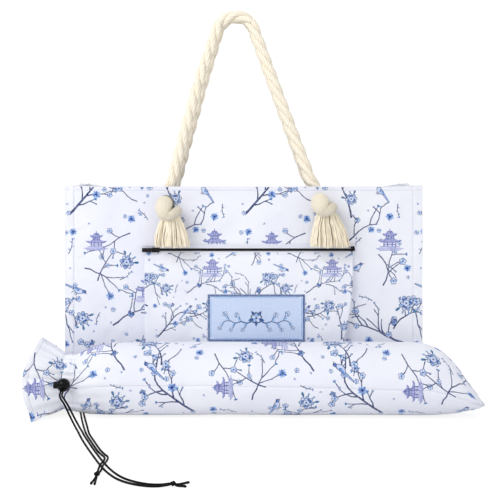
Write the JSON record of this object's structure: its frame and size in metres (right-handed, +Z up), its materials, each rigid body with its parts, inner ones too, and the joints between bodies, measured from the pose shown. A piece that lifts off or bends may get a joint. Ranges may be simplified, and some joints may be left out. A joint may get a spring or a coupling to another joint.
{
  "type": "mahjong case",
  "caption": "Soft standing tote with rope handles and a zipped front pocket for a boxed table game, with a drawstring sack for its rolled mat.",
  "frame": {"origin": "middle of the tote's flat base, on the surface it stands on", "axes": "+X along the tote to the viewer's right, +Y towards its back, +Z up; the pocket faces -Y"},
  "size_m": [0.745, 0.5618, 0.6796],
  "materials": {
    "printed_cloth": "white woven polyester with a blue blossom and branch print",
    "plain_cloth": "plain white woven polyester",
    "base_stiffener": "grey stiff board",
    "eyelet_metal": "dark nickel eyelets",
    "cotton_rope": "natural three-strand cotton rope",
    "zip_cloth": "black woven zip tape",
    "zip_nylon": "black nylon teeth",
    "zip_metal": "black enamelled metal",
    "label_cloth": null,
    "sack_cloth": "white woven polyester with the same print",
    "drawcord": "black braided cord",
    "lock_plastic": "glossy black moulded plastic",
    "spring_wire": "bright spring wire"
  },
  "bodies": {
    "tote": {"front_panel": "printed_cloth", "rear_panel": "printed_cloth", "left_gusset": "printed_cloth", "right_gusset": "printed_cloth", "base_panel": "plain_cloth", "base_board": "base_stiffener", "rim_facing": "plain_cloth", "seam_allowances": "plain_cloth", "front_eyelets": "eyelet_metal", "rear_eyelets": "eyelet_metal", "front_left_knot": "cotton_rope", "front_right_knot": "cotton_rope", "rear_left_knot": "cotton_rope", "rear_right_knot": "cotton_rope", "front_left_tassel": "cotton_rope", "front_right_tassel": "cotton_rope", "rear_left_tassel": "cotton_rope", "rear_right_tassel": "cotton_rope", "pocket_panel": "printed_cloth", "zip_tape": "zip_cloth", "zip_teeth": "zip_nylon", "zip_stops": "zip_metal", "label_patch": "label_cloth"},
    "front_handle": {"front_handle": "cotton_rope"},
    "rear_handle": {"rear_handle": "cotton_rope"},
    "zip_slider": {"zip_slider": "zip_metal"},
    "zip_pull": {"zip_pull": "zip_metal"},
    "mat_sack": {"sack_upper": "sack_cloth", "sack_lower": "sack_cloth", "neck_channel": "sack_cloth", "channel_cords": "drawcord", "ruffle": "sack_cloth", "drawcord_a_left": "drawcord", "drawcord_a_right": "drawcord", "drawcord_a_knot": "drawcord", "drawcord_b_left": "drawcord", "drawcord_b_right": "drawcord", "drawcord_b_knot": "drawcord"},
    "cord_lock": {"cord_lock_body": "lock_plastic", "cord_lock_spring": "spring_wire"},
    "cord_lock_button": {"cord_lock_button": "lock_plastic"}
  },
  "joints": [
    {"name": "front_handle_hinge", "type": "hinge", "parent": "tote", "child": "front_handle", "pos_m": [0, -0.04905, 0.382], "axis": [1, 0, 0], "range_deg": [0, 97]},
    {"name": "rear_handle_hinge", "type": "hinge", "parent": "tote", "child": "rear_handle", "pos_m": [0, 0.04905, 0.382], "axis": [-1, 0, 0], "range_deg": [0, 97]},
    {"name": "zip_slide", "type": "slide", "parent": "tote", "child": "zip_slider", "axis": [1, 0, 0], "range_m": [0, 0.325]},
    {"name": "zip_pull_hinge", "type": "hinge", "parent": "zip_slider", "child": "zip_pull", "pos_m": [-0.153, -0.07225, 0.2615], "axis": [0, 0, 1], "range_deg": [0, 175]},
    {"name": "sack_slide", "type": "slide", "parent": "tote", "child": "mat_sack", "axis": [0, -1, 0], "range_m": [0, 0.25]},
    {"name": "cord_lock_slide", "type": "slide", "parent": "mat_sack", "child": "cord_lock", "axis": [0, -0.866, -0.5], "range_m": [0, 0.01]},
    {"name": "lock_button_press", "type": "slide", "parent": "cord_lock", "child": "cord_lock_button", "axis": [1, 0, 0], "range_m": [0, 0.0022], "stiffness_N_per_m": 300, "springref_m": -0.002, "deforming": ["cord_lock_spring"]}
  ]
}
